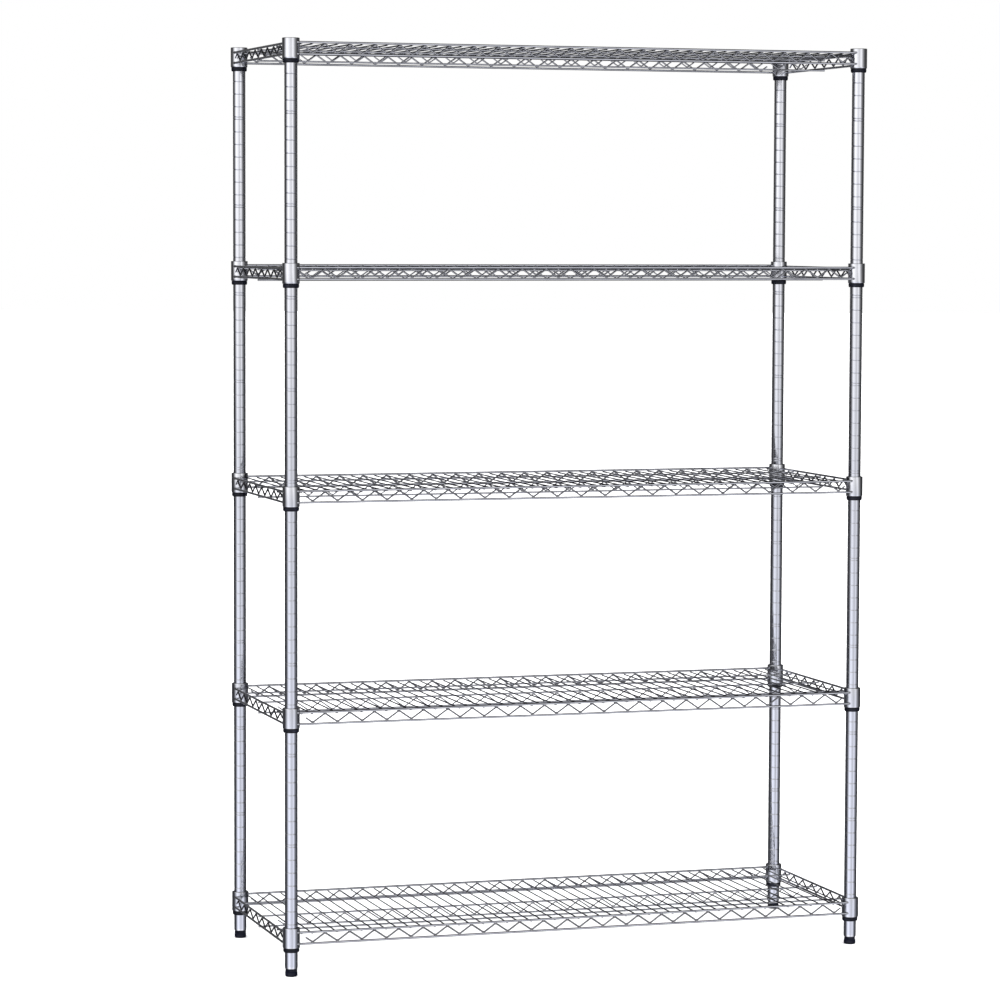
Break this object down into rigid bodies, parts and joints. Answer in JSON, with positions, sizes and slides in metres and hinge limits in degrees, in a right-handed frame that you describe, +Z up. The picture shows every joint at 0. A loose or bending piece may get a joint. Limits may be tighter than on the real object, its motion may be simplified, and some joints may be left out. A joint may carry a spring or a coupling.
{
  "type": "wire shelving rack",
  "caption": "Free-standing chromed welded-wire storage rack: grooved tube posts, lift-off wire shelves on tapered split sleeves, and screw levelling feet.",
  "frame": {"origin": "centre of the rack's footprint, on the floor under the glides", "axes": "+X to the right along the shelves seen from the front, the front faces -Y, +Z up"},
  "size_m": [1.214, 0.455, 1.8232],
  "materials": {
    "post_chrome": "polished",
    "wire_chrome": "bright plated",
    "collar_chrome": "polished",
    "sleeve_plastic": "satin",
    "cap_plastic": "satin",
    "foot_black": "satin",
    "zinc_steel": "zinc plated"
  },
  "bodies": {
    "frame": {"post_front_left": "post_chrome", "post_front_right": "post_chrome", "post_rear_left": "post_chrome", "post_rear_right": "post_chrome", "post_caps": "cap_plastic", "foot_inserts": "zinc_steel", "sleeves_1": "sleeve_plastic", "sleeves_2": "sleeve_plastic", "sleeves_3": "sleeve_plastic", "sleeves_4": "sleeve_plastic", "sleeves_5": "sleeve_plastic"},
    "shelf_1": {"shelf_1_collars": "collar_chrome", "shelf_1_deck": "wire_chrome", "shelf_1_inner_truss": "wire_chrome", "shelf_1_front_truss": "wire_chrome", "shelf_1_rear_truss": "wire_chrome", "shelf_1_left_truss": "wire_chrome", "shelf_1_right_truss": "wire_chrome"},
    "shelf_2": {"shelf_2_collars": "collar_chrome", "shelf_2_deck": "wire_chrome", "shelf_2_inner_truss": "wire_chrome", "shelf_2_front_truss": "wire_chrome", "shelf_2_rear_truss": "wire_chrome", "shelf_2_left_truss": "wire_chrome", "shelf_2_right_truss": "wire_chrome"},
    "shelf_3": {"shelf_3_collars": "collar_chrome", "shelf_3_deck": "wire_chrome", "shelf_3_inner_truss": "wire_chrome", "shelf_3_front_truss": "wire_chrome", "shelf_3_rear_truss": "wire_chrome", "shelf_3_left_truss": "wire_chrome", "shelf_3_right_truss": "wire_chrome"},
    "shelf_4": {"shelf_4_collars": "collar_chrome", "shelf_4_deck": "wire_chrome", "shelf_4_inner_truss": "wire_chrome", "shelf_4_front_truss": "wire_chrome", "shelf_4_rear_truss": "wire_chrome", "shelf_4_left_truss": "wire_chrome", "shelf_4_right_truss": "wire_chrome"},
    "shelf_5": {"shelf_5_collars": "collar_chrome", "shelf_5_deck": "wire_chrome", "shelf_5_inner_truss": "wire_chrome", "shelf_5_front_truss": "wire_chrome", "shelf_5_rear_truss": "wire_chrome", "shelf_5_left_truss": "wire_chrome", "shelf_5_right_truss": "wire_chrome"},
    "foot_front_left": {"foot_pad_front_left": "foot_black"},
    "stud_front_left": {"foot_stud_front_left": "zinc_steel"},
    "foot_front_right": {"foot_pad_front_right": "foot_black"},
    "stud_front_right": {"foot_stud_front_right": "zinc_steel"},
    "foot_rear_left": {"foot_pad_rear_left": "foot_black"},
    "stud_rear_left": {"foot_stud_rear_left": "zinc_steel"},
    "foot_rear_right": {"foot_pad_rear_right": "foot_black"},
    "stud_rear_right": {"foot_stud_rear_right": "zinc_steel"}
  },
  "joints": [
    {"name": "shelf_1_lift", "type": "slide", "parent": "frame", "child": "shelf_1", "axis": [0, 0, 1], "range_m": [0, 0.38]},
    {"name": "shelf_2_lift", "type": "slide", "parent": "frame", "child": "shelf_2", "axis": [0, 0, 1], "range_m": [0, 0.38]},
    {"name": "shelf_3_lift", "type": "slide", "parent": "frame", "child": "shelf_3", "axis": [0, 0, 1], "range_m": [0, 0.38]},
    {"name": "shelf_4_lift", "type": "slide", "parent": "frame", "child": "shelf_4", "axis": [0, 0, 1], "range_m": [0, 0.38]},
    {"name": "shelf_5_lift", "type": "slide", "parent": "frame", "child": "shelf_5", "axis": [0, 0, 1], "range_m": [0, 0.12]},
    {"name": "foot_front_left_height", "type": "slide", "parent": "frame", "child": "foot_front_left", "axis": [0, 0, -1], "range_m": [0, 0.015]},
    {"name": "foot_front_left_turn", "type": "hinge", "parent": "foot_front_left", "child": "stud_front_left", "pos_m": [-0.59, -0.2105, 0.012], "axis": [0, 0, -1], "range_deg": [0, 3400]},
    {"name": "foot_front_right_height", "type": "slide", "parent": "frame", "child": "foot_front_right", "axis": [0, 0, -1], "range_m": [0, 0.015]},
    {"name": "foot_front_right_turn", "type": "hinge", "parent": "foot_front_right", "child": "stud_front_right", "pos_m": [0.59, -0.2105, 0.012], "axis": [0, 0, -1], "range_deg": [0, 3400]},
    {"name": "foot_rear_left_height", "type": "slide", "parent": "frame", "child": "foot_rear_left", "axis": [0, 0, -1], "range_m": [0, 0.015]},
    {"name": "foot_rear_left_turn", "type": "hinge", "parent": "foot_rear_left", "child": "stud_rear_left", "pos_m": [-0.59, 0.2105, 0.012], "axis": [0, 0, -1], "range_deg": [0, 3400]},
    {"name": "foot_rear_right_height", "type": "slide", "parent": "frame", "child": "foot_rear_right", "axis": [0, 0, -1], "range_m": [0, 0.015]},
    {"name": "foot_rear_right_turn", "type": "hinge", "parent": "foot_rear_right", "child": "stud_rear_right", "pos_m": [0.59, 0.2105, 0.012], "axis": [0, 0, -1], "range_deg": [0, 3400]}
  ],
  "couplings": [
    {"joint": "foot_front_left_height", "follows": "foot_front_left_turn", "m_per_rad": 0.00025266},
    {"joint": "foot_front_right_height", "follows": "foot_front_right_turn", "m_per_rad": 0.00025266},
    {"joint": "foot_rear_left_height", "follows": "foot_rear_left_turn", "m_per_rad": 0.00025266},
    {"joint": "foot_rear_right_height", "follows": "foot_rear_right_turn", "m_per_rad": 0.00025266}
  ]
}
